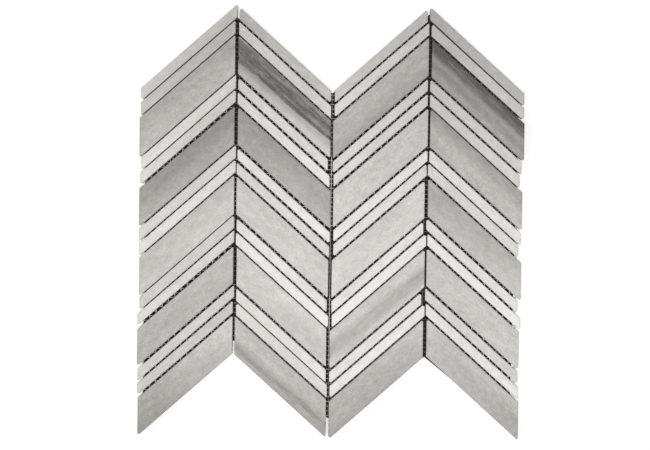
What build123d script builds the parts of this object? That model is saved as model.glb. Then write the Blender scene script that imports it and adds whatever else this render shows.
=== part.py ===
from build123d import *
import math
import os
import random

# A sheet of chevron marble mosaic, lying face up on its mesh backing.
# Four columns of chips lean left and right in turn, so that their ends meet in V joints.
# Each column repeats two narrow pale strips above one wide grey chip.
# Every chip is sawn to a parallelogram: its long sides follow the chevron, its ends are upright.
# The chips are glued, face up, to a mesh of crosswise and lengthwise glass threads.
# The origin is under the middle of the sheet, on the floor. +Y points up the columns, to the peaks.

# Layout of the sheet
COLUMNS = 4
ROWS = 5
STRIPS_PER_ROW = 2
CHEVRON_ANGLE = 41.7

# Chips, in mm. The widths are those of chips between usual joints
COLUMN_WIDTH = 66.4
WIDE_CHIP_WIDTH = 20.15
STRIP_WIDTH = 6.45
CHIP_THICKNESS = 9.5
ARRIS = 0.3

# Open grout joints, in mm: upright ones between columns, slanted ones between the chips of a column
COLUMN_JOINT = 1.6
CHIP_JOINTS = {"tight": 0.75, "close": 1.0, "usual": 1.3, "open": 1.6, "gaping": 2.1}

# The slanted joints of each column from the top. The chips beside a joint make up for its width
LAID_JOINTS = (
    "tight tight tight close open close close close tight tight gaping open usual usual",
    "usual close open open usual open open open open usual close open tight usual",
    "usual usual open open open open usual usual open usual close open usual usual",
    "tight usual usual usual close usual close usual open open usual open usual usual",
)

# How far the end of a chip stops short of the middle of the joint beside it, or of the sheet's side line, in mm
CHIP_ENDS = {
    "proud": -0.5,
    "even": 0.0,
    "near": 0.4,
    "usual": COLUMN_JOINT / 2,
    "shy": 1.2,
    "short": 1.6,
    "shorter": 2.0,
    "clipped": 2.6,
    "docked": 3.2,
}

# The ends of the chips of each column from the top: those on its left side, then those on its right side
LAID_ENDS = (
    (
        "shy shy near short shy usual usual usual shy short near near usual usual shy",
        "proud usual usual even even usual proud proud near even even near proud near near",
    ),
    (
        "shorter short shy short shy short short shy shy short shy shorter shorter shorter shy",
        "usual usual usual clipped shy near near usual shy shorter usual shorter shorter shy short",
    ),
    (
        "short short usual usual short short shorter shorter shy shy short near near usual near",
        "short near near usual usual near near usual shorter clipped near shy docked usual short",
    ),
    (
        "even shy short usual usual shy usual even near proud near even proud even usual",
        "usual usual near shorter docked shy short docked shy docked shy shorter clipped shorter short",
    ),
)

# The two sharp tips of a chip break off, this far back along each side, in mm
LEAST_TIP_BREAK = 0.6
MOST_TIP_BREAK = 2.0

# The chips are laid by hand: each may stray across the column, and its ends swing, by these shares of a joint
SLIP_SHARE = 0.15
TWIST_SHARE = 0.15
LAYING_SEED = 11

# Mesh backing, in mm: its threads, and how far it is cut back from the sheet's sides
WARP_PITCH = 4.4
WEFT_PITCH = 3.3
THREAD_WIDTH = 0.7
THREAD_THICKNESS = 0.3
SIDE_SETBACK = 2.0

# How far it is cut back from the sheet's zigzag edges at the left side, the upright joints and the right side
MESH_CUT_ABOVE = (2.0, 7.0, 2.0, 4.0, 2.0)
MESH_CUT_BELOW = (2.0, 10.0, 14.0, 2.0, 2.0)

# Worked out from the sizes above
slope = math.tan(math.radians(CHEVRON_ANGLE))
upright_share = 1 / math.cos(math.radians(CHEVRON_ANGLE))
column_pitch = COLUMN_WIDTH + COLUMN_JOINT
sheet_width = COLUMNS * column_pitch - COLUMN_JOINT
usual_joint = CHIP_JOINTS["usual"]
row_cuts = [STRIP_WIDTH] * STRIPS_PER_ROW + [WIDE_CHIP_WIDTH]
row_pitch = sum(width + usual_joint for width in row_cuts) * upright_share
column_height = ROWS * row_pitch - usual_joint * upright_share
sheet_height = column_height + slope * COLUMN_WIDTH
back_of_chips = 2 * THREAD_THICKNESS

laying = random.Random(LAYING_SEED)


def column_lean(column):
    """+1 where the column's chips rise to the right, -1 where they fall."""
    return 1 if column % 2 == 0 else -1


def column_middle(column):
    """X of the column's middle."""
    return (column - (COLUMNS - 1) / 2) * column_pitch


def joint_spread(column, index):
    """How much wider than usual the joint is below the chip of this index in a column, from the top."""
    names = LAID_JOINTS[column % len(LAID_JOINTS)].split()
    if index < 0 or index >= ROWS * len(row_cuts) - 1:
        return 0
    return CHIP_JOINTS[names[index % len(names)]] - usual_joint


def ends_of_chip(column, index):
    """How far both ends of the chip of this index in a column, from the top, stop short."""
    ends = []
    for side in LAID_ENDS[column % len(LAID_ENDS)]:
        names = side.split()
        ends.append(CHIP_ENDS[names[index % len(names)]])
    return ends


def chips_of_row(column, row):
    """Width, shortness of both ends, and Y of the middle at mid column, of each chip in a row, from the top."""
    top = column_height / 2 - row * row_pitch
    chips = []
    for position, width in enumerate(row_cuts):
        index = row * len(row_cuts) + position
        above = joint_spread(column, index - 1) / 2
        below = joint_spread(column, index) / 2
        middle_y = top - (width + above - below) / 2 * upright_share
        chips.append((width - above - below, ends_of_chip(column, index), middle_y))
        top -= (width + usual_joint) * upright_share
    return chips


def laid_plane(column, along, middle_y):
    """The plane of a chip's back, slid along its column in X and where the hand that laid it let it stray."""
    across = laying.uniform(-SLIP_SHARE, SLIP_SHARE) * CHIP_JOINTS["tight"] * upright_share
    end_swing = laying.uniform(-TWIST_SHARE, TWIST_SHARE) * CHIP_JOINTS["tight"]
    twist = math.degrees(end_swing / (COLUMN_WIDTH * upright_share / 2))
    laid_x = column_middle(column) + along
    laid_y = middle_y + across + column_lean(column) * slope * along
    return Plane((laid_x, laid_y, back_of_chips)).rotated((0, 0, twist))


def chip_outline(lean, length, width):
    """Draws a chip's parallelogram about the origin of the open sketch."""
    half_length = length / 2
    half_rise = lean * slope * half_length
    half_height = width * upright_share / 2
    Polygon(
        (-half_length, -half_rise - half_height),
        (half_length, half_rise - half_height),
        (half_length, half_rise + half_height),
        (-half_length, -half_rise + half_height),
        align=None,
    )


def break_tips(outline, width):
    """Cuts the sharp tips, the highest and the lowest corner, off the open sketch."""
    most = min(MOST_TIP_BREAK, width * upright_share / 3)
    corners = outline.vertices().sort_by(Axis.Y)
    for tip in (corners[0], corners[-1]):
        chamfer(tip, laying.uniform(min(LEAST_TIP_BREAK, most), most))


def sawn_chip(column, width, ends, middle_y):
    """One chip, with the edges of its face eased."""
    left_end, right_end = ends
    length = column_pitch - left_end - right_end
    with BuildPart() as chip:
        with BuildSketch(laid_plane(column, (left_end - right_end) / 2, middle_y)) as outline:
            chip_outline(column_lean(column), length, width)
            break_tips(outline, width)
        extrude(amount=CHIP_THICKNESS)
        chamfer(chip.faces().sort_by(Axis.Z)[-1].edges(), ARRIS)
    return chip


def mesh_edge(zigzag_y, cuts):
    """Points along an edge of the mesh, from left to right, cut back from a zigzag edge of the sheet."""
    points = []
    reach = sheet_width / 2 - SIDE_SETBACK
    for boundary in range(COLUMNS + 1):
        x = min(max((boundary - COLUMNS / 2) * column_pitch, -reach), reach)
        beside = min(boundary, COLUMNS - 1)
        rise = column_lean(beside) * slope * (x - column_middle(beside))
        points.append((x, zigzag_y + rise + cuts[boundary % len(cuts)]))
    return points


def mesh_threads(size_x, size_y, pitch_x, pitch_y, count_x, count_y, bottom):
    """One layer of straight threads, cut off along the sheet's outline."""
    with BuildPart() as threads:
        with BuildSketch(Plane.XY.offset(bottom)) as layer:
            with BuildLine():
                above = mesh_edge(column_height / 2, [-cut for cut in MESH_CUT_ABOVE])
                below = mesh_edge(-column_height / 2, MESH_CUT_BELOW)
                Polyline(*above, *reversed(below), close=True)
            make_face()
            with BuildSketch(mode=Mode.INTERSECT):
                with GridLocations(pitch_x, pitch_y, count_x, count_y):
                    Rectangle(size_x, size_y)
        # An end shorter than one mesh cell falls off when the mesh is cut
        least_area = THREAD_WIDTH * max(WARP_PITCH, WEFT_PITCH)
        lengths = layer.sketch.faces().filter_by(lambda thread: thread.area > least_area)
        extrude(lengths, amount=THREAD_THICKNESS)
    return threads


def write(piece, name):
    """Labels a finished node and writes its file."""
    piece.part.label = name
    export_step(piece.part, f"parts/{name}.step")


os.makedirs("parts", exist_ok=True)

# Marble chips, column by column from the left and row by row from the top
for column in range(COLUMNS):
    for row in range(ROWS):
        *strips, wide = [sawn_chip(column, *chip) for chip in chips_of_row(column, row)]
        place = f"col{column + 1}_row{row + 1}"
        with BuildPart() as strip_group:
            add([strip.part for strip in strips])
        write(strip_group, f"strip_pair_{place}")
        write(wide, f"wide_chip_{place}")

# Lengthwise threads lie on the floor, crosswise threads on them and against the chips
warp_count = int(sheet_width // WARP_PITCH)
weft_count = int(sheet_height // WEFT_PITCH)
mesh_warp = mesh_threads(THREAD_WIDTH, sheet_height, WARP_PITCH, 0, warp_count, 1, 0)
mesh_weft = mesh_threads(sheet_width, THREAD_WIDTH, 0, WEFT_PITCH, 1, weft_count, THREAD_THICKNESS)
write(mesh_warp, "mesh_warp")
write(mesh_weft, "mesh_weft")

print(f"sheet {sheet_width:.1f} x {sheet_height:.1f} mm, {COLUMNS * ROWS * len(row_cuts)} chips")
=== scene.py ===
import math
import random

import bmesh
import bpy
from mathutils import Matrix, Vector, noise
from mathutils.geometry import delaunay_2d_cdt


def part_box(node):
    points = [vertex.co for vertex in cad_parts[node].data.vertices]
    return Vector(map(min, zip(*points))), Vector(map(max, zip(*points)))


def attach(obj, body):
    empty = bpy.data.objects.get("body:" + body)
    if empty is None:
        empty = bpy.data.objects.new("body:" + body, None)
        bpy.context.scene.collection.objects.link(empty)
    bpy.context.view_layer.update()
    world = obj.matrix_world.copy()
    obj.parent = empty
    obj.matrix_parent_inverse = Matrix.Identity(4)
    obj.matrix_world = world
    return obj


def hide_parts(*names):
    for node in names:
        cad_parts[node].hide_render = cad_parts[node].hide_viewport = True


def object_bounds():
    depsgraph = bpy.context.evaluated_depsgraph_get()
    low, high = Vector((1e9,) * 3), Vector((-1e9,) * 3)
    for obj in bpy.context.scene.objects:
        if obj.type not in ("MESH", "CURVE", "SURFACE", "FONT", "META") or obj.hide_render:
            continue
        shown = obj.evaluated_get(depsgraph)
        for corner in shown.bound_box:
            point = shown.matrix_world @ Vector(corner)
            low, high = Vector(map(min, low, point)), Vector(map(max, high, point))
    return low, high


# A sheet of chevron marble mosaic on its glass mesh, dressed for its portrait from above.
# Each chip of the frame is cut again with worn arrises, nicks, broken tips and sawn sides.
# The two layers of straight threads become a leno weave: paired warp yarns that lock flat weft yarns.

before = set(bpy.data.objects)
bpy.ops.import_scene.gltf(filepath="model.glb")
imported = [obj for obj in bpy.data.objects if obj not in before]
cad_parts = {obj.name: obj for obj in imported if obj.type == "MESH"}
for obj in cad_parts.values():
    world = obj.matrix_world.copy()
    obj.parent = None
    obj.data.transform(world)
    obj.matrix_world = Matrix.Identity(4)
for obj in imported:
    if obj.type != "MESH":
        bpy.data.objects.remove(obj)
cad_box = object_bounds()

MM = 0.001
COLUMNS = 4
ROWS = 5

# Reading of the CAD meshes: how close points are to be one point, to lie in one plane, and to lie on one line
WELD = 0.005 * MM
LEVEL = 0.01 * MM
TOUCH = 0.001 * MM

# Points of a chip: their spacing along its rim and along the rings inside it, how far in those rings lie,
# and how far down the sides the rings below the rim lie (0 is the rim and 1 the foot)
RIM_SPACING = 0.75 * MM
RING_SPACING = 1.3 * RIM_SPACING
FACE_RINGS = (0.1 * MM, 0.27 * MM, 0.5 * MM, 0.9 * MM, 1.5 * MM)
SIDE_LEVELS = (0.05, 0.12, 0.28, 0.55, 0.85, 1.0)

# Triangulation of the face: the kind of result that stays inside the rim, and the tolerance
INSIDE_THE_RIM = 1
CUT_TOLERANCE = 1e-9

# Worn arrises: how far the radius wanders and over what length, and how deep an arris looks fully worn
ARRIS_RADIUS = 0.32 * MM
ARRIS_WANDER = 0.14 * MM
ARRIS_WAVE = 4 * MM
FULL_WEAR = 0.8 * ARRIS_RADIUS
BACK_ARRIS = 0.12 * MM
BACK_WEAR = 0.2

# Sawn sides, and broken ones where an edge is short: how far they wander, and over what length
SAW_WANDER = 0.05 * MM
BROKEN_EDGE = 3.2 * MM
BROKEN_WANDER = 0.22 * MM
RIM_WAVE = 1.1 * MM
SIDE_WAVE = 1.6 * MM

# Nicks round the rim: small ones are common and large ones rare. A depth is a share of the radius,
# and the rim itself gives way by a share of the depth.
NICKS_PER_METRE = 45
NICK_RADII = (0.5 * MM, 1.5 * MM)
NICK_RARITY = 3
NICK_DEPTH = 0.3
NICK_DEPTH_SHARES = (0.5, 1.0)
RIM_BITE = 0.8

# The draw of the nicks, and of the place in the stone that each chip was cut from
CUTTING_SEED = 7
GRAIN_SHIFT = 5

# Glass mesh: yarn sizes, and how far the hand-made cloth wanders from a true grid
WARP_YARN_WIDTH = 0.46 * MM
WARP_SWAY = 0.2 * MM
WEFT_YARN_WIDTH = 0.42 * MM
YARN_THICKNESS = 0.19 * MM
WEAVE_WANDER = 0.35 * MM
WANDER_SCALE = 22.0

# Detail of the yarns: points round one, and steps along one in each cell of the mesh
SECTION_POINTS = 4
WARP_STEPS = 4
WEFT_STEPS = 2

# Looks of the yarn: its darker and its paler tone, the painted shade over it in the upright joints, its
# filaments and its blotches
YARN_TONES = ((0.74, 0.74, 0.72, 1.0), (0.92, 0.92, 0.9, 1.0))
YARN_SHADE_COLOUR = (0.03, 0.03, 0.03, 1.0)
FILAMENTS_ALONG = 60.0
FILAMENTS_AROUND = 26.0
BLOTCH_SCALE = 160.0
BLOTCH_SHARE = 0.5
RESIN_ROUGHNESS = 0.38
FILAMENT_ROUGHNESS = 0.3
FILAMENT_STRENGTH = 0.5
FILAMENT_DEPTH = 0.05 * MM
NOISE_REACH = 0.25

# How much of a thread's white is lost to painted shade in an upright joint, by how well the thread shows
YARN_SHADE_SHARES = {"clear": 0.0, "faint": 0.5, "hidden": 0.8}

# How well the crosswise threads show through the painted shade in the three upright joints, row by row from
# the top
WEFT_IN_JOINTS = (
    "hidden hidden clear hidden faint",
    "clear clear hidden faint clear",
    "hidden hidden faint hidden hidden",
)

# How well the lengthwise threads show through the painted shade there, joint by joint
WARP_IN_JOINTS = (
    "hidden hidden hidden hidden hidden",
    "hidden clear faint clear hidden",
    "hidden hidden hidden hidden hidden",
)
JOINT_REACH = 3.5 * MM

# The dark ground under the sheet, painted shade that shows through the open joints, at its left side, its
# three upright joints and its right side:
# how far its corners stray sideways and up from the ends of the mesh
GROUND_ENDS_ABOVE = ((3.4 * MM, 0.0), (0.0, 0.0), (0.0, 1.2 * MM), (0.0, 1 * MM), (-3 * MM, 0.0))
GROUND_ENDS_BELOW = ((3.4 * MM, 0.0), (0.0, 0.0), (0.0, 0.0), (0.0, -2 * MM), (-6.6 * MM, 0.0))

# Stage
WHITE = (1.0, 1.0, 1.0, 1.0)
BLACK = (0.0, 0.0, 0.0, 1.0)
FLOOR_HALF = 4.0
FLOOR_LEVEL = -0.3 * MM
FLOOR_COLOUR = (0.85, 0.85, 0.85, 1.0)
FLOOR_GLOW = 0.3
GROUND_LEVEL = -0.1 * MM
# The dark ground is painted shade: near black that stands in for the shade deep in the joints
JOINT_SHADE_GROUND_COLOUR = (0.03, 0.03, 0.03, 1.0)
LIGHT_ALL_ROUND = 0.28

# Portrait: where the camera aims, in the frame's X and Y, and how it stands
CAMERA_DISTANCE = 1.5
CAMERA_AIM = (-4.0 * MM, -1.1 * MM)
CAMERA_LEAN = math.radians(1.6)
CAMERA_ROLL = math.radians(0.8)
PORTRAIT_WIDTH = 458.6 * MM
SENSOR_WIDTH = 36

# Tones of the stone, as they look: 0 is black and 1 is white
TONES = {
    "slate": 0.59,
    "smoky": 0.645,
    "ash": 0.67,
    "grey": 0.7,
    "mist": 0.715,
    "dove": 0.735,
    "silver": 0.765,
    "pale": 0.79,
    "bone": 0.81,
    "cream": 0.83,
    "milk": 0.86,
    "chalk": 0.885,
    "white": 0.91,
    "snow": 0.93,
}

# How much warmer than grey the stone is: what red gains and blue loses at every tone
WARMTH = 0.0165

# The tones that stone may reach, and how tones as they look turn into colours
DARKEST_LOOK = 0.2
PALEST_LOOK = 0.95
SCREEN_GAMMA = 2.2

# Patterns in the stone: the stretch along, across and down the chip, the scale, the detail and the roughness
PATTERNS = {
    "clouds": ((0.3, 1.0, 1.0), 75.0, 3.0, 0.5),
    "mottle": ((0.6, 1.0, 1.0), 300.0, 3.0, 0.6),
    "specks": ((1.0, 1.0, 1.0), 900.0, 2.0, 0.5),
    "streaks": ((0.14, 1.0, 1.0), 560.0, 3.0, 0.65),
    "saw_marks": ((0.05, 0.6, 3.0), 900.0, 2.0, 0.5),
    "pits": ((1.0, 1.0, 1.0), 1500.0, 2.0, 0.5),
}

# What the patterns do to the tone: how strong mottle and specks are beside the clouds,
# how far clouds and streaks bend the darker layers, and how much streaks and specks break them up
MOTTLE_SHARE = 1.6
SPECK_SHARE = 1.3
CLOUD_BEND = 0.16
STREAK_BEND = 0.06
STREAKS_IN_LAYERS = 2.2
SPECKS_IN_LAYERS = 1.2

# Worn and sawn stone: the wear at which a bruise starts and is whole, how far specks fray it,
# how much paler bruised and sawn stone are (the sawn sides partly for the stone and partly as painted light
# that lifts the shaded joint walls), and how rough honed, bruised and mottled stone are
BRUISE_START = 0.35
BRUISE_WHOLE = 0.9
BRUISE_FRAY = 0.8
BRUISE_PALER = 0.05
SAWN_PALER_AND_PAINTED_LIGHT = 0.08
HONED_ROUGHNESS = 0.56
BRUISE_ROUGHNESS = 0.25
MOTTLE_ROUGHNESS = 0.15

# Relief of the stone: how high saw marks and pits stand, and the pits of a sawn side
SAW_MARK_HEIGHT = 0.6
PIT_HEIGHT = 0.25
SAWN_PIT_HEIGHT = 0.5
RELIEF_STRENGTH = 0.35
RELIEF_DEPTH = 0.12 * MM

# Darker layers of a wide chip, up to four a chip, each as the photograph shows it (beds, and broad darkening
# towards one side):
# its middle and half its width across the chip (0 is the lower side, 1 the upper one), how soft its edges
# are, how much it climbs from the left end to the right one, and how much darker it is at its middle
LAYERS_A_CHIP = 4
LAYER_PARTS = ("middle", "half_width", "softness", "climb", "depth")
NO_LAYER = (0.0, 0.0, 1.0, 0.0, 0.0)
SHADES = {
    "even": (),
    "darker above": ((1.0, 0.0, 1.0, 0.0, 0.06),),
    "dark above": ((1.0, 0.05, 0.6, 0.0, 0.105),),
    "much darker above": ((1.0, 0.05, 0.9, 0.0, 0.1), (0.62, 0.03, 0.12, 0.1, 0.02)),
    "darker below": ((0.0, 0.0, 0.9, 0.0, 0.07),),
    "dull below": ((0.15, 0.25, 0.45, 0.0, 0.035),),
    "dark bed": (
        (0.72, 0.33, 0.36, 0.12, 0.13),
        (0.7, 0.28, 0.09, 0.17, 0.17),
        (0.45, 0.02, 0.07, 0.12, 0.16),
        (0.7, 0.03, 0.16, 0.1, 0.11),
    ),
    "dark upper side": (
        (1.0, 0.27, 0.24, 0.0, 0.24),
        (1.0, 0.06, 0.2, 0.0, 0.12),
        (0.31, 0.03, 0.15, 0.0, 0.055),
        (0.75, 0.3, 0.3, 0.0, 0.035),
    ),
    "climbing bed": ((0.1, 0.25, 0.3, 0.1, 0.09), (0.27, 0.01, 0.15, 0.17, 0.085)),
    "middle bed": ((0.42, 0.08, 0.3, -0.26, 0.11),),
}

# Wide chips, column by column from the left and row by row from the top:
# the tone, the shade, and how much paler the right end is than the left. The darker tones of the upper rows
# are partly painted shade where the light falls off towards the top of the sheet
WIDE_CHIPS = (
    (
        ("grey", "darker above", -0.05),
        ("smoky", "much darker above", -0.06),
        ("pale", "darker above", 0.0),
        ("mist", "dull below", 0.06),
        ("mist", "darker below", 0.2),
    ),
    (
        ("dove", "dark bed", 0.13),
        ("smoky", "darker above", 0.08),
        ("pale", "even", 0.03),
        ("bone", "dull below", 0.01),
        ("dove", "climbing bed", -0.02),
    ),
    (
        ("ash", "darker below", -0.06),
        ("silver", "even", -0.1),
        ("bone", "even", -0.04),
        ("pale", "middle bed", 0.03),
        ("mist", "darker below", 0.08),
    ),
    (
        ("slate", "dark upper side", 0.04),
        ("grey", "dark above", 0.05),
        ("dove", "darker above", 0.09),
        ("silver", "even", 0.05),
        ("dove", "dull below", -0.07),
    ),
)

# Strips, column by column from the left: the tones of the upper and the lower one, row by row from the top.
# The darker tones of the upper rows are partly painted shade where the light falls off towards the top of the
# sheet
STRIPS = (
    ("dove mist", "cream bone", "bone milk", "pale cream", "bone pale"),
    ("grey pale", "cream milk", "chalk cream", "chalk white", "chalk milk"),
    ("dove pale", "bone bone", "chalk milk", "chalk snow", "chalk white"),
    ("ash dove", "silver pale", "milk cream", "milk white", "cream chalk"),
)

# How much paler the lower end of a strip is than the upper one, row by row from the top: partly the stone's
# own tone and partly painted shade where the light falls off towards the top of the sheet
STRIP_FADES = (0.08, 0.075, 0.045, 0.03, 0.01)


def add_node(tree, kind, settings, inputs):
    """Adds a node to a tree: its settings first, then a value or a link for each input."""
    made = tree.nodes.new(kind)
    for name, value in settings.items():
        setattr(made, name, value)
    for name, value in inputs.items():
        if isinstance(value, bpy.types.NodeSocket):
            tree.links.new(value, made.inputs[name])
        else:
            made.inputs[name].default_value = value
    return made


class Field:
    """A value that varies over a surface: arithmetic on it adds Math nodes to its material."""

    def __init__(self, shader, socket):
        self.shader = shader
        self.socket = socket

    def maths(self, operation, *values):
        return self.shader.node("ShaderNodeMath", {"operation": operation}, dict(enumerate(values)))

    def __add__(self, other):
        return self.maths("ADD", self, other)

    def __sub__(self, other):
        return self.maths("SUBTRACT", self, other)

    def __rsub__(self, other):
        return self.maths("SUBTRACT", other, self)

    def __mul__(self, other):
        return self.maths("MULTIPLY", self, other)

    def __pow__(self, other):
        return self.maths("POWER", self, other)

    __radd__ = __add__


class Shader:
    """One material, and the nodes that paint it."""

    def __init__(self, name, roughness):
        self.material = bpy.data.materials.new(name)
        self.material.use_nodes = True
        self.tree = self.material.node_tree
        self.tree.nodes.clear()
        self.surface = add_node(self.tree, "ShaderNodeBsdfPrincipled", {}, {"Roughness": roughness})
        add_node(self.tree, "ShaderNodeOutputMaterial", {}, {"Surface": self.surface.outputs[0]})

    def node(self, kind, settings, inputs, output=0):
        """Adds a node and gives one of its outputs. Its inputs are values and fields."""
        sockets = {name: getattr(value, "socket", value) for name, value in inputs.items()}
        return Field(self, add_node(self.tree, kind, settings, sockets).outputs[output])

    def attribute(self, name, output="Fac"):
        return self.node("ShaderNodeAttribute", {"attribute_name": name}, {}, output)

    def noise(self, place, scale, detail, roughness=0.5):
        """Noise about zero. It seldom goes past NOISE_REACH."""
        sizes = {"Vector": place, "Scale": scale, "Detail": detail, "Roughness": roughness}
        return self.node("ShaderNodeTexNoise", {}, sizes, "Fac") - 0.5

    def pattern(self, place, stretch, scale, detail, roughness):
        """Noise that is drawn out along some of the axes."""
        stretched = self.node("ShaderNodeVectorMath", {"operation": "MULTIPLY"}, {0: place, 1: stretch})
        return self.noise(stretched, scale, detail, roughness)

    def ramp(self, value, low, high):
        """0 below low, 1 above high, smooth between."""
        settings = {"interpolation_type": "SMOOTHSTEP"}
        span = {"Value": value, "From Min": low, "From Max": high}
        return self.node("ShaderNodeMapRange", settings, span)

    def blend(self, share, first, second):
        settings = {"data_type": "RGBA"}
        return self.node("ShaderNodeMix", settings, {0: share, 6: first, 7: second}, 2)

    def set(self, name, field):
        self.tree.links.new(field.socket, self.surface.inputs[name])

    def bump(self, height, strength, distance):
        sizes = {"Height": height, "Strength": strength, "Distance": distance}
        self.set("Normal", self.node("ShaderNodeBump", {}, sizes))


def marble(name, cloudiness, streakiness):
    """Honed marble. Its tone and its darker layers come with each chip, and the clouding is in the stone."""
    stone = Shader(name, HONED_ROUGHNESS)
    grain = stone.attribute("grain", "Vector")
    clouds = stone.pattern(grain, *PATTERNS["clouds"])
    mottle = stone.pattern(grain, *PATTERNS["mottle"])
    specks = stone.pattern(grain, *PATTERNS["specks"])
    streaks = stone.pattern(grain, *PATTERNS["streaks"])

    along = stone.attribute("along")
    tone = stone.attribute("tone") + along * stone.attribute("fade")
    across = stone.attribute("across") + clouds * CLOUD_BEND + streaks * STREAK_BEND
    broken_up = 1 + streaks * STREAKS_IN_LAYERS + specks * SPECKS_IN_LAYERS
    for number in range(LAYERS_A_CHIP):
        parts = (stone.attribute(f"{part}_{number}") for part in LAYER_PARTS)
        middle, half_width, softness, climb, depth = parts
        beside = across - middle - along * climb
        distance = beside.maths("ABSOLUTE", beside)
        layer = 1 - stone.ramp(distance, half_width, half_width + softness)
        tone = tone - layer * depth * broken_up
    clouding = clouds + mottle * MOTTLE_SHARE + specks * SPECK_SHARE
    tone = tone + clouding * cloudiness + streaks * streakiness

    bruise = stone.ramp(stone.attribute("wear") + specks * BRUISE_FRAY, BRUISE_START, BRUISE_WHOLE)
    sawn = stone.attribute("sawn")
    # The sawn sides are partly painted light: paler, to lift the shade on the joint walls
    tone = tone + bruise * BRUISE_PALER + sawn * SAWN_PALER_AND_PAINTED_LIGHT
    look = stone.node("ShaderNodeClamp", {}, {"Value": tone, "Min": DARKEST_LOOK, "Max": PALEST_LOOK})
    colour = {
        "Red": (look + WARMTH) ** SCREEN_GAMMA,
        "Green": look**SCREEN_GAMMA,
        "Blue": (look - WARMTH) ** SCREEN_GAMMA,
    }
    stone.set("Base Color", stone.node("ShaderNodeCombineColor", {}, colour))
    stone.set("Roughness", HONED_ROUGHNESS + bruise * BRUISE_ROUGHNESS + mottle * MOTTLE_ROUGHNESS)
    saw_marks = stone.pattern(grain, *PATTERNS["saw_marks"]) * sawn
    pits = stone.pattern(grain, *PATTERNS["pits"]) * (PIT_HEIGHT + sawn * SAWN_PIT_HEIGHT)
    stone.bump(saw_marks * SAW_MARK_HEIGHT + pits, RELIEF_STRENGTH, RELIEF_DEPTH)
    return stone.material


def glass_yarn(name):
    """Glass fibre in a satin resin coat: pale filaments lie along the yarn, with painted shade in the upright
    joints.
    """
    yarn = Shader(name, RESIN_ROUGHNESS)
    along = yarn.attribute("yarn_along") * FILAMENTS_ALONG
    around = yarn.attribute("yarn_around") * FILAMENTS_AROUND
    place = yarn.node("ShaderNodeCombineXYZ", {}, {"X": along, "Y": around, "Z": 0.0})
    filaments = yarn.noise(place, 1.0, 2.0)
    blotches = yarn.noise(yarn.node("ShaderNodeTexCoord", {}, {}, "Object"), BLOTCH_SCALE, 2.0)
    share = yarn.ramp(filaments + blotches * BLOTCH_SHARE, -NOISE_REACH, NOISE_REACH)
    clean = yarn.blend(share, *YARN_TONES)
    # Painted shade: in the upright joints the yarns are blended towards near black
    yarn.set("Base Color", yarn.blend(yarn.attribute("yarn_joint_shade"), clean, YARN_SHADE_COLOUR))
    yarn.set("Roughness", RESIN_ROUGHNESS + filaments * FILAMENT_ROUGHNESS)
    yarn.bump(filaments, FILAMENT_STRENGTH, FILAMENT_DEPTH)
    return yarn.material


def stage_material(name, colour, glow):
    """A matt ground that throws no sheen. The camera and sheen see its glow, which lights nothing."""
    ground = Shader(name, 1.0)
    ground.surface.inputs["Specular IOR Level"].default_value = 0.0
    ground.surface.inputs["Base Color"].default_value = colour
    ground.surface.inputs["Emission Strength"].default_value = glow
    camera_rays = ground.node("ShaderNodeLightPath", {}, {}, "Is Camera Ray")
    glossy_rays = ground.node("ShaderNodeLightPath", {}, {}, "Is Glossy Ray")
    ground.set("Emission Color", ground.blend(camera_rays + glossy_rays, BLACK, WHITE))
    return ground.material


def solids_of(node):
    """The points of each solid of a CAD node."""
    block = bmesh.new()
    block.from_mesh(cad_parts[node].data)
    bmesh.ops.remove_doubles(block, verts=block.verts, dist=WELD)
    solids = []
    waiting = set(block.verts)
    while waiting:
        reached = [waiting.pop()]
        for vertex in reached:
            for edge in vertex.link_edges:
                other = edge.other_vert(vertex)
                if other in waiting:
                    waiting.remove(other)
                    reached.append(other)
        solids.append([vertex.co.copy() for vertex in reached])
    block.free()
    return solids


def centre_of(points):
    """The mean of some points in the plane."""
    return sum(points, Vector((0, 0))) / len(points)


def chips_of(node):
    """The chips of a CAD node from the top down: outline (counterclockwise), back height and face height."""
    chips = []
    for points in solids_of(node):
        back = min(point.z for point in points)
        face = max(point.z for point in points)
        outline = [point.xy for point in points if point.z < back + LEVEL]
        middle = centre_of(outline)
        outline.sort(key=lambda corner: math.atan2(corner.y - middle.y, corner.x - middle.x))
        chips.append((outline, back, face))
    return sorted(chips, key=lambda chip: -centre_of(chip[0]).y)


def threads_of(node, axis):
    """The straight threads of a CAD layer in order across the sheet: where each lies, and its two ends."""
    across = 1 - axis
    threads = []
    for points in solids_of(node):
        sides = [point[across] for point in points]
        reaches = [point[axis] for point in points]
        threads.append(((min(sides) + max(sides)) / 2, min(reaches), max(reaches)))
    return sorted(threads)


def boundary_x(boundary):
    """The X of the sheet's left side, of an upright joint, or of the right side, numbered from 0."""
    width = cad_box[1].x - cad_box[0].x
    return cad_box[0].x + width * boundary / COLUMNS


def sides_of(outline):
    """Start, end, direction and inward normal of each side of an outline."""
    sides = []
    for start, end in zip(outline, outline[1:] + outline[:1]):
        along = (end - start).normalized()
        sides.append((start, end, along, Vector((-along.y, along.x))))
    return sides


def inset(outline, distance):
    """The convex outline moved inwards by a distance, without the sides that vanish."""
    corners = list(outline)
    for start, end, along, inward in sides_of(outline):
        kept = []
        heights = [(corner - start).dot(inward) - distance for corner in corners]
        for index, corner in enumerate(corners):
            following = (index + 1) % len(corners)
            if heights[index] >= 0:
                kept.append(corner)
            if heights[index] * heights[following] < 0:
                share = heights[index] / (heights[index] - heights[following])
                kept.append(corner.lerp(corners[following], share))
        corners = kept
    return corners


def spaced(outline, spacing):
    """Points along an outline, its corners among them."""
    points = []
    for start, end, along, inward in sides_of(outline):
        steps = max(1, round((end - start).length / spacing))
        points += [start.lerp(end, step / steps) for step in range(steps)]
    return points


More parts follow.
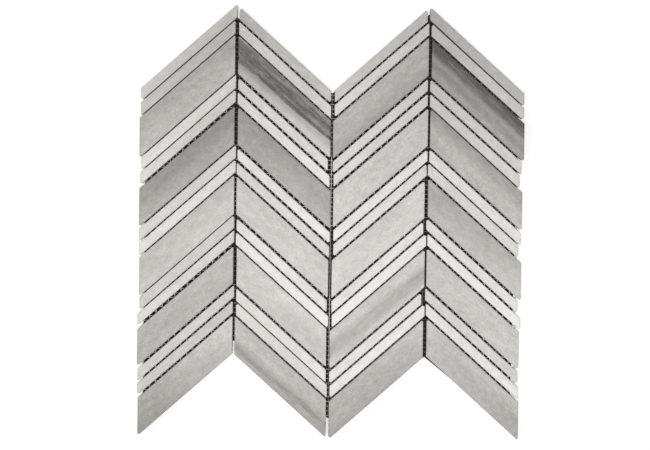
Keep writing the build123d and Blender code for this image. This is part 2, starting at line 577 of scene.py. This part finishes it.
class Chip:
    """One marble chip: its outline, the lie of its grain, and what the saw and handling did to its edges."""

    def __init__(self, outline, back, face, cutting):
        self.outline = outline
        self.back = back
        self.face = face
        self.sides = sides_of(outline)
        self.middle = centre_of(outline)
        start, end, along, inward = max(self.sides, key=lambda side: (side[1] - side[0]).length)
        self.along = along if along.x > 0 else -along
        self.up = Vector((-self.along.y, self.along.x))
        self.block = Vector([cutting.uniform(-GRAIN_SHIFT, GRAIN_SHIFT) for axis in range(3)])
        self.half_length = max((corner - self.middle).dot(self.along) for corner in outline)
        self.half_width = max((corner - self.middle).dot(self.up) for corner in outline)
        girth = sum((end - start).length for start, end, along, inward in self.sides)
        self.nicks = [self.nick(cutting) for index in range(round(girth * NICKS_PER_METRE))]

    def nick(self, cutting):
        """Place on the rim, radius and depth of one small break."""
        lengths = [(end - start).length for start, end, along, inward in self.sides]
        start, end, along, inward = cutting.choices(self.sides, lengths)[0]
        least, most = NICK_RADII
        radius = least + (most - least) * cutting.random() ** NICK_RARITY
        place = start.lerp(end, cutting.random())
        depth = radius * NICK_DEPTH * cutting.uniform(*NICK_DEPTH_SHARES)
        return Vector((place.x, place.y, self.face)), radius, depth

    def bite(self, point):
        """How deep the nicks bite at a point of the sawn block."""
        deepest = 0.0
        for place, radius, depth in self.nicks:
            distance = (point - place).length
            if distance < radius:
                deepest = max(deepest, depth * (1 - (distance / radius) ** 2))
        return deepest

    def wander(self, point, length):
        """A smooth random value about zero that changes over a length."""
        return noise.noise(point / length + self.block)

    def face_drop(self, point, bite):
        """How far the worn arris lies below the face."""
        radius = ARRIS_RADIUS + ARRIS_WANDER * self.wander(Vector((point.x, point.y, 0.0)), ARRIS_WAVE)
        distance = min((point - start).dot(inward) for start, end, along, inward in self.sides)
        distance = max(0.0, distance)
        drop = 0.0
        if distance < radius:
            drop = radius - math.sqrt(radius**2 - (radius - distance) ** 2)
        return drop + bite

    def inward_at(self, place):
        """Direction into the chip from a point of its rim, and whether the rim is broken there."""
        direction = Vector((0, 0))
        broken = False
        for start, end, along, inward in self.sides:
            beside = (place - start).dot(along)
            length = (end - start).length
            if abs((place - start).dot(inward)) < TOUCH and -TOUCH < beside < length + TOUCH:
                direction += inward
                broken = broken or length < BROKEN_EDGE
        return direction.normalized(), broken


def cut_chip(chip):
    """Vertices of a chip as (point, wear, sawn), and its faces."""
    vertices = []
    rim = spaced(chip.outline, RIM_SPACING)
    rings = [spaced(inset(chip.outline, distance), RING_SPACING) for distance in FACE_RINGS]
    plan = rim + [point for ring in rings for point in ring]
    edges = [(index, (index + 1) % len(rim)) for index in range(len(rim))]
    points, _, triangles, origins, _, _ = delaunay_2d_cdt(plan, edges, [], INSIDE_THE_RIM, CUT_TOLERANCE)
    assert [origin[0] for origin in origins[: len(rim)]] == list(range(len(rim)))

    insides = []
    for place in rim:
        inward, broken = chip.inward_at(place)
        insides.append((inward, BROKEN_WANDER if broken else SAW_WANDER))
    rim_heights = []
    for index, point in enumerate(points):
        on_face = Vector((point.x, point.y, chip.face))
        bite = chip.bite(on_face)
        drop = chip.face_drop(point, bite)
        place = point.copy()
        if index < len(rim):
            inward, reach = insides[index]
            place += inward * (bite * RIM_BITE + reach * abs(chip.wander(on_face, RIM_WAVE)))
            rim_heights.append(chip.face - drop)
        wear = min(1.0, drop / FULL_WEAR)
        vertices.append((Vector((place.x, place.y, chip.face - drop)), wear, 0.0))
    faces = [list(triangle) for triangle in triangles]

    above = list(range(len(rim)))
    foot = chip.back + BACK_ARRIS
    for level in SIDE_LEVELS:
        below = []
        for index, place in enumerate(rim):
            height = rim_heights[index] + (foot - rim_heights[index]) * level
            inward, reach = insides[index]
            spot = Vector((place.x, place.y, height))
            moved = place + inward * (chip.bite(spot) + reach * abs(chip.wander(spot, SIDE_WAVE)))
            below.append(len(vertices))
            vertices.append((Vector((moved.x, moved.y, height)), 0.0, 1.0))
        faces += ring_faces(above, below)
        above = below
    below = []
    for index, place in enumerate(rim):
        moved = place + insides[index][0] * BACK_ARRIS
        below.append(len(vertices))
        vertices.append((Vector((moved.x, moved.y, chip.back)), BACK_WEAR, 1.0))
    faces += ring_faces(above, below)
    faces.append(list(reversed(below)))
    return vertices, faces


def ring_faces(above, below):
    """Quads between two rings that run counterclockwise, facing outwards."""
    count = len(above)
    quads = []
    for index in range(count):
        following = (index + 1) % count
        quads.append([above[index], below[index], below[following], above[following]])
    return quads


def store(mesh, name, kind, values):
    """Keeps one value a vertex under a name that the material reads."""
    attribute = mesh.attributes.new(name, kind, "POINT")
    key = "vector" if kind == "FLOAT_VECTOR" else "value"
    attribute.data.foreach_set(key, values)


def chip_piece(name, chip, looks, material):
    """The finished object of a chip, with what its marble needs to know."""
    vertices, faces = cut_chip(chip)
    mesh = bpy.data.meshes.new(name)
    mesh.from_pydata([vertex[0] for vertex in vertices], [], faces)
    mesh.update()
    grain = []
    along = []
    across = []
    for point, wear, sawn in vertices:
        offset = point.xy - chip.middle
        lie = Vector((offset.dot(chip.along), offset.dot(chip.up), point.z)) + chip.block
        grain.extend(lie)
        along.append(offset.dot(chip.along) / chip.half_length / 2)
        across.append(offset.dot(chip.up) / chip.half_width / 2 + 0.5)
    store(mesh, "grain", "FLOAT_VECTOR", grain)
    store(mesh, "along", "FLOAT", along)
    store(mesh, "across", "FLOAT", across)
    store(mesh, "wear", "FLOAT", [vertex[1] for vertex in vertices])
    store(mesh, "sawn", "FLOAT", [vertex[2] for vertex in vertices])
    for key, value in looks.items():
        store(mesh, key, "FLOAT", [value] * len(vertices))
    mesh.shade_smooth()
    back = mesh.polygons[-1]
    back.use_smooth = False
    mesh.materials.append(material)
    piece = bpy.data.objects.new(name, mesh)
    bpy.context.scene.collection.objects.link(piece)
    return piece


def looks_of(tone, fade, layers):
    """The values that a chip's marble reads."""
    looks = {"tone": TONES[tone], "fade": fade}
    for number in range(LAYERS_A_CHIP):
        layer = layers[number] if number < len(layers) else NO_LAYER
        for part, value in zip(LAYER_PARTS, layer):
            looks[f"{part}_{number}"] = value
    return looks


def set_chip(name, node, chip, looks, material):
    """Cuts a chip and puts it in its CAD node's place."""
    piece = chip_piece(name, chip, looks, material)
    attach(piece, "root")
    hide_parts(node)


def lay_chips():
    """Cuts every chip of the sheet."""
    cutting = random.Random(CUTTING_SEED)
    grey_marble = marble("honed_grey_marble", cloudiness=0.14, streakiness=0.07)
    pale_marble = marble("honed_pale_marble", cloudiness=0.12, streakiness=0.04)
    for column in range(COLUMNS):
        for row in range(ROWS):
            place = f"col{column + 1}_row{row + 1}"
            node = f"strip_pair_{place}"
            tones = STRIPS[column][row].split()
            for position, tone, solid in zip(("upper", "lower"), tones, chips_of(node)):
                chip = Chip(*solid, cutting)
                # Partly painted shade: each strip darkens towards its upper end, more so in the upper rows
                fade = STRIP_FADES[row] if chip.along.y < 0 else -STRIP_FADES[row]
                looks = looks_of(tone, fade, ())
                set_chip(f"strip_{position}_{place}", node, chip, looks, pale_marble)
            node = f"wide_chip_{place}"
            chip = Chip(*chips_of(node)[0], cutting)
            tone, shade, fade = WIDE_CHIPS[column][row]
            looks = looks_of(tone, fade, SHADES[shade])
            set_chip(f"wide_{place}", node, chip, looks, grey_marble)


class Nodes:
    """A Geometry Nodes tree while it is put together."""

    def __init__(self, name):
        self.tree = bpy.data.node_groups.new(name, "GeometryNodeTree")
        self.inputs = {}

    def socket(self, name, kind):
        """Adds a named input of the tree."""
        made = self.tree.interface.new_socket(name, in_out="INPUT", socket_type=kind)
        self.inputs[name] = made.identifier

    def add(self, kind, settings, inputs, output=0):
        return add_node(self.tree, kind, settings, inputs).outputs[output]

    def maths(self, operation, *values):
        return self.add("ShaderNodeMath", {"operation": operation}, dict(enumerate(values)))

    def vector_maths(self, operation, first, second):
        return self.add("ShaderNodeVectorMath", {"operation": operation}, {0: first, 1: second})

    def vector(self, x, y, z):
        return self.add("ShaderNodeCombineXYZ", {}, {"X": x, "Y": y, "Z": z})

    def keep(self, geometry, name, value):
        """Keeps a value on the points of a geometry, under a name that the material reads."""
        settings = {"data_type": "FLOAT", "domain": "POINT"}
        inputs = {"Geometry": geometry, "Name": name, "Value": value}
        return self.add("GeometryNodeStoreNamedAttribute", settings, inputs)


def yarn_tree():
    """Turns straight lines into yarns: each sways, climbs and dips, and gets a flat round section.
    Sway is its swing to the sides over two cells, Climb its rise over one, and Level its mean height."""
    yarns = Nodes("woven_yarn")
    yarns.socket("Lines", "NodeSocketGeometry")
    for name in "Step Pitch Phase Sway Climb Level Width Thickness Wander Crosswise".split():
        yarns.socket(name, "NodeSocketFloat")
    yarns.socket("Yarn", "NodeSocketMaterial")
    yarns.tree.interface.new_socket("Cloth", in_out="OUTPUT", socket_type="NodeSocketGeometry")
    given = yarns.tree.nodes.new("NodeGroupInput").outputs

    curve = yarns.add("GeometryNodeMeshToCurve", {}, {"Mesh": given["Lines"]})
    steps = {"Curve": curve, "Length": given["Step"]}
    curve = yarns.add("GeometryNodeResampleCurve", {"mode": "LENGTH"}, steps)
    curve = yarns.add("GeometryNodeSetCurveNormal", {"mode": "Z_UP"}, {"Curve": curve})
    run = yarns.add("GeometryNodeSplineParameter", {}, {}, "Length")
    curve = yarns.keep(curve, "yarn_along", run)

    place = yarns.add("GeometryNodeInputPosition", {}, {})
    parts = add_node(yarns.tree, "ShaderNodeSeparateXYZ", {}, {0: place}).outputs
    ways = {0: given["Crosswise"], 2: parts["Y"], 3: parts["X"]}
    along_yarn = yarns.add("ShaderNodeMix", {"data_type": "FLOAT"}, ways)
    cells = yarns.maths("DIVIDE", yarns.maths("SUBTRACT", along_yarn, given["Phase"]), given["Pitch"])
    half_turns = yarns.maths("MULTIPLY", cells, math.pi)
    sway = yarns.maths("MULTIPLY", yarns.maths("COSINE", half_turns), given["Sway"])
    turns = yarns.maths("MULTIPLY", cells, 2 * math.pi)
    climb = yarns.maths("MULTIPLY", yarns.maths("COSINE", turns), given["Climb"])
    height = yarns.maths("ADD", climb, given["Level"])
    wave = yarns.vector(sway, 0.0, height)

    drift = {"Vector": place, "Scale": WANDER_SCALE, "Detail": 1.0}
    cloth_noise = yarns.add("ShaderNodeTexNoise", {}, drift, "Color")
    centred = yarns.vector_maths("SUBTRACT", cloth_noise, (0.5, 0.5, 0.5))
    flat = yarns.vector_maths("MULTIPLY", centred, (1.0, 1.0, 0.0))
    wander = yarns.add("ShaderNodeVectorMath", {"operation": "SCALE"}, {0: flat, "Scale": given["Wander"]})
    offset = yarns.vector_maths("ADD", wave, wander)
    curve = yarns.add("GeometryNodeSetPosition", {}, {"Geometry": curve, "Offset": offset})

    unit_circle = {"Resolution": SECTION_POINTS, "Radius": 0.5}
    section = yarns.add("GeometryNodeCurvePrimitiveCircle", {"mode": "RADIUS"}, unit_circle)
    around = yarns.add("GeometryNodeSplineParameter", {}, {}, "Factor")
    section = yarns.keep(section, "yarn_around", around)
    shape = yarns.vector(given["Width"], given["Thickness"], 1.0)
    section = yarns.add("GeometryNodeTransform", {}, {"Geometry": section, "Scale": shape})
    swept = {"Curve": curve, "Profile Curve": section, "Fill Caps": True}
    tubes = yarns.add("GeometryNodeCurveToMesh", {}, swept)
    tubes = yarns.add("GeometryNodeSetShadeSmooth", {}, {"Geometry": tubes, "Shade Smooth": True})
    tubes = yarns.add("GeometryNodeRealizeInstances", {}, {"Geometry": tubes})
    tubes = yarns.add("GeometryNodeSetMaterial", {}, {"Geometry": tubes, "Material": given["Yarn"]})
    add_node(yarns.tree, "NodeGroupOutput", {}, {"Cloth": tubes})
    return yarns


def weave(name, yarns, threads, axis, sizes, material):
    """One system of yarns along the threads of a CAD layer, as a plain mesh."""
    across = 1 - axis
    points = []
    for level, low, high in threads:
        for reach in (low, high):
            point = [0.0, 0.0, 0.0]
            point[axis] = reach
            point[across] = level
            points.append(point)
    lines = bpy.data.meshes.new(f"{name}_lines")
    lines.from_pydata(points, [(index, index + 1) for index in range(0, len(points), 2)], [])
    piece = bpy.data.objects.new(name, lines)
    bpy.context.scene.collection.objects.link(piece)
    modifier = piece.modifiers.new("weave", "NODES")
    modifier.node_group = yarns.tree
    for key, value in sizes.items():
        modifier[yarns.inputs[key]] = value
    modifier[yarns.inputs["Yarn"]] = material
    depsgraph = bpy.context.evaluated_depsgraph_get()
    woven = bpy.data.meshes.new_from_object(piece.evaluated_get(depsgraph))
    woven.name = name
    piece.modifiers.clear()
    piece.data = woven
    bpy.data.meshes.remove(lines)
    return piece


def row_ends(boundary):
    """The Y where each row ends at an upright joint: the lower right corner of the wide chip on its left."""
    ends = []
    for row in range(ROWS):
        outline, back, face = chips_of(f"wide_chip_col{boundary}_row{row + 1}")[0]
        middle = centre_of(outline)
        ends.append(min(corner.y for corner in outline if corner.x > middle.x))
    return ends


def dull(piece, looks):
    """Keeps, at each point of the yarns, how much of their white is lost to painted shade in the upright
    joints.
    """
    points = piece.data.vertices
    yarn_joint_shade = [0.0] * len(points)
    for boundary, words in enumerate(looks, 1):
        x = boundary_x(boundary)
        ends = row_ends(boundary)
        rows = words.split()
        for point in points:
            if abs(point.co.x - x) < JOINT_REACH:
                row = min(sum(end > point.co.y for end in ends), ROWS - 1)
                yarn_joint_shade[point.index] = YARN_SHADE_SHARES[rows[row]]
    store(piece.data, "yarn_joint_shade", "FLOAT", yarn_joint_shade)


def set_yarns(name, yarns, node, axis, sizes, looks, material):
    """Weaves one system of yarns and puts it in its CAD layer's place."""
    piece = weave(name, yarns, threads_of(node, axis), axis, sizes, material)
    dull(piece, looks)
    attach(piece, "root")
    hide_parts(node)


def weave_mesh():
    """The leno mesh: one yarn of each warp pair goes over every weft, one under it, and they swap sides."""
    warp = threads_of("mesh_warp", 1)
    warp_pitch = warp[1][0] - warp[0][0]
    weft_levels = sorted({round(level, 7) for level, low, high in threads_of("mesh_weft", 0)})
    weft_pitch = weft_levels[1] - weft_levels[0]
    cloth_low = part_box("mesh_warp")[0].z
    cloth_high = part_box("mesh_weft")[1].z
    middle = (cloth_low + cloth_high) / 2
    passing = YARN_THICKNESS / 2
    extreme = (cloth_high - cloth_low) / 2 - passing
    yarns = yarn_tree()
    glass = glass_yarn("coated_glass_yarn")
    every_yarn = {"Thickness": YARN_THICKNESS, "Wander": WEAVE_WANDER}
    warp_yarn = {
        "Step": weft_pitch / WARP_STEPS,
        "Pitch": weft_pitch,
        "Phase": weft_levels[0],
        "Width": WARP_YARN_WIDTH,
        "Crosswise": 0.0,
        **every_yarn,
    }
    for name, side in (("warp_over", 1), ("warp_under", -1)):
        sizes = {
            "Sway": side * WARP_SWAY,
            "Climb": side * (extreme + passing) / 2,
            "Level": middle + side * (extreme - passing) / 2,
            **warp_yarn,
        }
        set_yarns(name, yarns, "mesh_warp", 1, sizes, WARP_IN_JOINTS, glass)
    sizes = {
        "Step": warp_pitch / WEFT_STEPS,
        "Pitch": warp_pitch,
        "Phase": warp[0][0],
        "Sway": 0.0,
        "Climb": 0.0,
        "Level": middle,
        "Width": WEFT_YARN_WIDTH,
        "Crosswise": 1.0,
        **every_yarn,
    }
    set_yarns("weft", yarns, "mesh_weft", 0, sizes, WEFT_IN_JOINTS, glass)


def flat_piece(name, points, material):
    """A flat polygon of the stage."""
    mesh = bpy.data.meshes.new(name)
    mesh.from_pydata(points, [], [list(range(len(points)))])
    mesh.materials.append(material)
    piece = bpy.data.objects.new(name, mesh)
    bpy.context.scene.collection.objects.link(piece)


def set_stage():
    """Pale floor, and the dark ground of painted shade that shows through the open joints, a little smaller
    than the sheet.
    """
    quarters = ((-1, -1), (1, -1), (1, 1), (-1, 1))
    corners = [(x * FLOOR_HALF, y * FLOOR_HALF, FLOOR_LEVEL) for x, y in quarters]
    flat_piece("floor", corners, stage_material("pale_floor", FLOOR_COLOUR, FLOOR_GLOW))
    warp = threads_of("mesh_warp", 1)
    outline = []
    for end, moves in ((1, GROUND_ENDS_BELOW), (2, GROUND_ENDS_ABOVE)):
        edge = []
        for boundary, (aside, up) in enumerate(moves):
            x = boundary_x(boundary) + aside
            thread = min(warp, key=lambda thread: abs(thread[0] - x))
            edge.append((x, thread[end] + up, GROUND_LEVEL))
        outline += edge if end == 1 else reversed(edge)
    # Painted shade: a near black sheet under the joints, where the pale floor would only lie in shade
    flat_piece("joint_shade_ground", outline, stage_material("joint_shade_ground", JOINT_SHADE_GROUND_COLOUR, 0.0))


def area_light(name, place, size, share):
    """A soft box turned to the sheet's middle, which gives its share of a plain level of light there."""
    light = bpy.data.lights.new(name, "AREA")
    light.shape = "SQUARE"
    light.size = size
    light.energy = share * math.pi**2 * place.length_squared
    lamp = bpy.data.objects.new(name, light)
    lamp.location = place
    lamp.rotation_mode = "QUATERNION"
    lamp.rotation_quaternion = place.to_track_quat("Z", "Y")
    bpy.context.scene.collection.objects.link(lamp)


def set_lights():
    """A soft box above the camera, a weaker one from the left, and even light from all round.
    The camera and sheen see the surroundings white."""
    area_light("front_box", place=Vector((0.0, -0.08, 1.95)), size=0.4, share=0.545)
    area_light("side_box", place=Vector((-1.3, 0.5, 1.9)), size=0.9, share=0.11)
    world = bpy.data.worlds.new("studio")
    world.use_nodes = True
    bpy.context.scene.world = world
    tree = world.node_tree
    tree.nodes.clear()
    rays = add_node(tree, "ShaderNodeLightPath", {}, {}).outputs
    kinds = {0: rays["Is Camera Ray"], 1: rays["Is Glossy Ray"]}
    seen = add_node(tree, "ShaderNodeMath", {"operation": "MAXIMUM"}, kinds).outputs[0]
    lit = add_node(tree, "ShaderNodeBackground", {}, {"Color": WHITE, "Strength": LIGHT_ALL_ROUND})
    shown = add_node(tree, "ShaderNodeBackground", {}, {"Color": WHITE, "Strength": 1.0})
    both = {0: seen, 1: lit.outputs[0], 2: shown.outputs[0]}
    mixed = add_node(tree, "ShaderNodeMixShader", {}, both).outputs[0]
    add_node(tree, "ShaderNodeOutputWorld", {}, {"Surface": mixed})


def set_camera():
    """Looks straight down on the sheet, but for a slight lean and roll."""
    aim = Vector((*CAMERA_AIM, cad_box[1].z))
    back = Vector((0, math.sin(CAMERA_LEAN), math.cos(CAMERA_LEAN)))
    right = Vector((1, 0, 0))
    up = back.cross(right)
    rolled_right = math.cos(CAMERA_ROLL) * right + math.sin(CAMERA_ROLL) * up
    rolled_up = math.cos(CAMERA_ROLL) * up - math.sin(CAMERA_ROLL) * right
    camera = bpy.data.objects.new("portrait", bpy.data.cameras.new("portrait"))
    camera.data.sensor_width = SENSOR_WIDTH
    camera.data.lens = SENSOR_WIDTH * CAMERA_DISTANCE / PORTRAIT_WIDTH
    turned = Matrix((rolled_right, rolled_up, back)).transposed().to_4x4()
    camera.matrix_world = Matrix.Translation(aim + back * CAMERA_DISTANCE) @ turned
    bpy.context.scene.collection.objects.link(camera)
    bpy.context.scene.camera = camera


set_camera()
set_stage()
set_lights()
lay_chips()
weave_mesh()
bpy.context.scene.view_settings.view_transform = "Standard"
